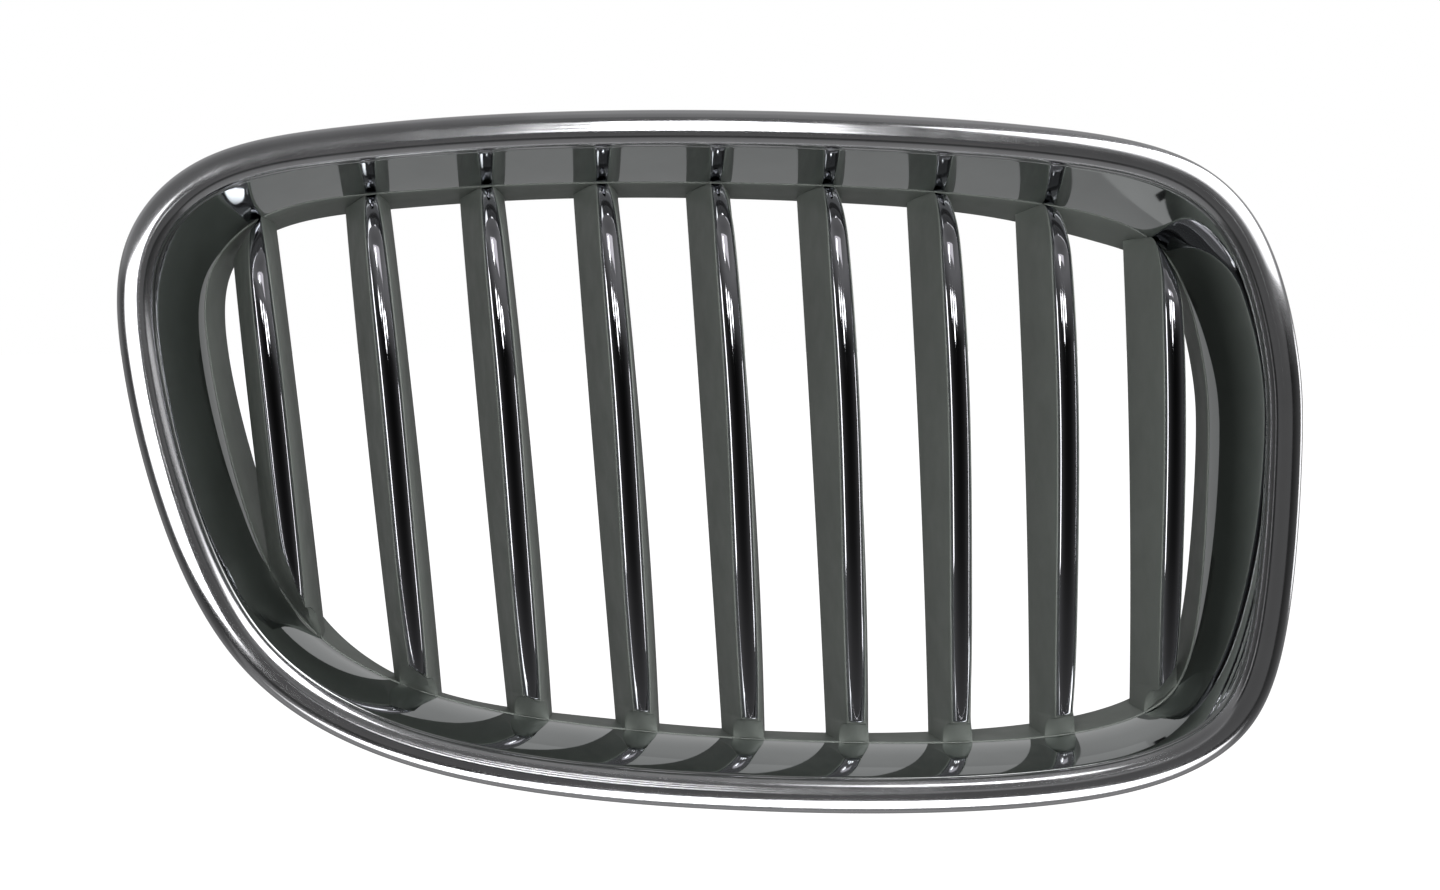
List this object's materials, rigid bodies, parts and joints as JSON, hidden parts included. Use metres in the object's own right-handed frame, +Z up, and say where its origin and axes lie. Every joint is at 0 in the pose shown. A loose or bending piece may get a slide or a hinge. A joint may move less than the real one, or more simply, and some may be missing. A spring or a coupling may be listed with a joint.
{
  "type": "front grille",
  "caption": "Half of a paired car front grille: chrome surround with a deep tunnel, upright leaning wedge slats with chrome nose strips, and rear snap hooks.",
  "frame": {"origin": "midway between the two carrier screw holes, in the rear seat plane", "axes": "+Z up, +X to the right as seen from the front, +Y rearwards, so the face looks along -Y"},
  "size_m": [0.3415, 0.0642, 0.2046],
  "materials": {
    "polished_chrome": "polished",
    "strip_chrome": "polished",
    "graphite_plastic": "satin grey",
    "gasket_foam": "matte foam",
    "screw_steel": "black zinc",
    "hook_nylon": "fine grain"
  },
  "bodies": {
    "grille": {"chrome_surround": "polished_chrome", "insert_frame": "graphite_plastic", "rim_gasket": "gasket_foam", "assembly_screws": "screw_steel", "slat_1": "graphite_plastic", "slat_2": "graphite_plastic", "slat_3": "graphite_plastic", "slat_4": "graphite_plastic", "slat_5": "graphite_plastic", "slat_6": "graphite_plastic", "slat_7": "graphite_plastic", "slat_8": "graphite_plastic", "slat_9": "graphite_plastic", "slat_strip_1": "strip_chrome", "slat_strip_2": "strip_chrome", "slat_strip_3": "strip_chrome", "slat_strip_4": "strip_chrome", "slat_strip_5": "strip_chrome", "slat_strip_6": "strip_chrome", "slat_strip_7": "strip_chrome", "slat_strip_8": "strip_chrome", "slat_strip_9": "strip_chrome"},
    "hook_top_left": {"snap_hook_top_left": "hook_nylon"},
    "hook_top_middle": {"snap_hook_top_middle": "hook_nylon"},
    "hook_top_right": {"snap_hook_top_right": "hook_nylon"},
    "hook_bottom_left": {"snap_hook_bottom_left": "hook_nylon"},
    "hook_bottom_middle": {"snap_hook_bottom_middle": "hook_nylon"},
    "hook_bottom_right": {"snap_hook_bottom_right": "hook_nylon"}
  },
  "joints": [
    {"name": "top_left_flex", "type": "hinge", "parent": "grille", "child": "hook_top_left", "pos_m": [-0.09, 0.0013, 0.085], "axis": [-1, 0, 0], "range_deg": [0, 8], "stiffness_Nm_per_rad": 0.8},
    {"name": "top_middle_flex", "type": "hinge", "parent": "grille", "child": "hook_top_middle", "pos_m": [0, 0.0013, 0.087], "axis": [-1, 0, 0], "range_deg": [0, 8], "stiffness_Nm_per_rad": 0.8},
    {"name": "top_right_flex", "type": "hinge", "parent": "grille", "child": "hook_top_right", "pos_m": [0.09, 0.0013, 0.083], "axis": [-1, 0, 0], "range_deg": [0, 8], "stiffness_Nm_per_rad": 0.8},
    {"name": "bottom_left_flex", "type": "hinge", "parent": "grille", "child": "hook_bottom_left", "pos_m": [-0.06, 0.0013, -0.083], "axis": [1, 0, 0], "range_deg": [0, 8], "stiffness_Nm_per_rad": 0.8},
    {"name": "bottom_middle_flex", "type": "hinge", "parent": "grille", "child": "hook_bottom_middle", "pos_m": [0.035, 0.0013, -0.091], "axis": [1, 0, 0], "range_deg": [0, 8], "stiffness_Nm_per_rad": 0.8},
    {"name": "bottom_right_flex", "type": "hinge", "parent": "grille", "child": "hook_bottom_right", "pos_m": [0.09, 0.0013, -0.091], "axis": [1, 0, 0], "range_deg": [0, 8], "stiffness_Nm_per_rad": 0.8}
  ]
}
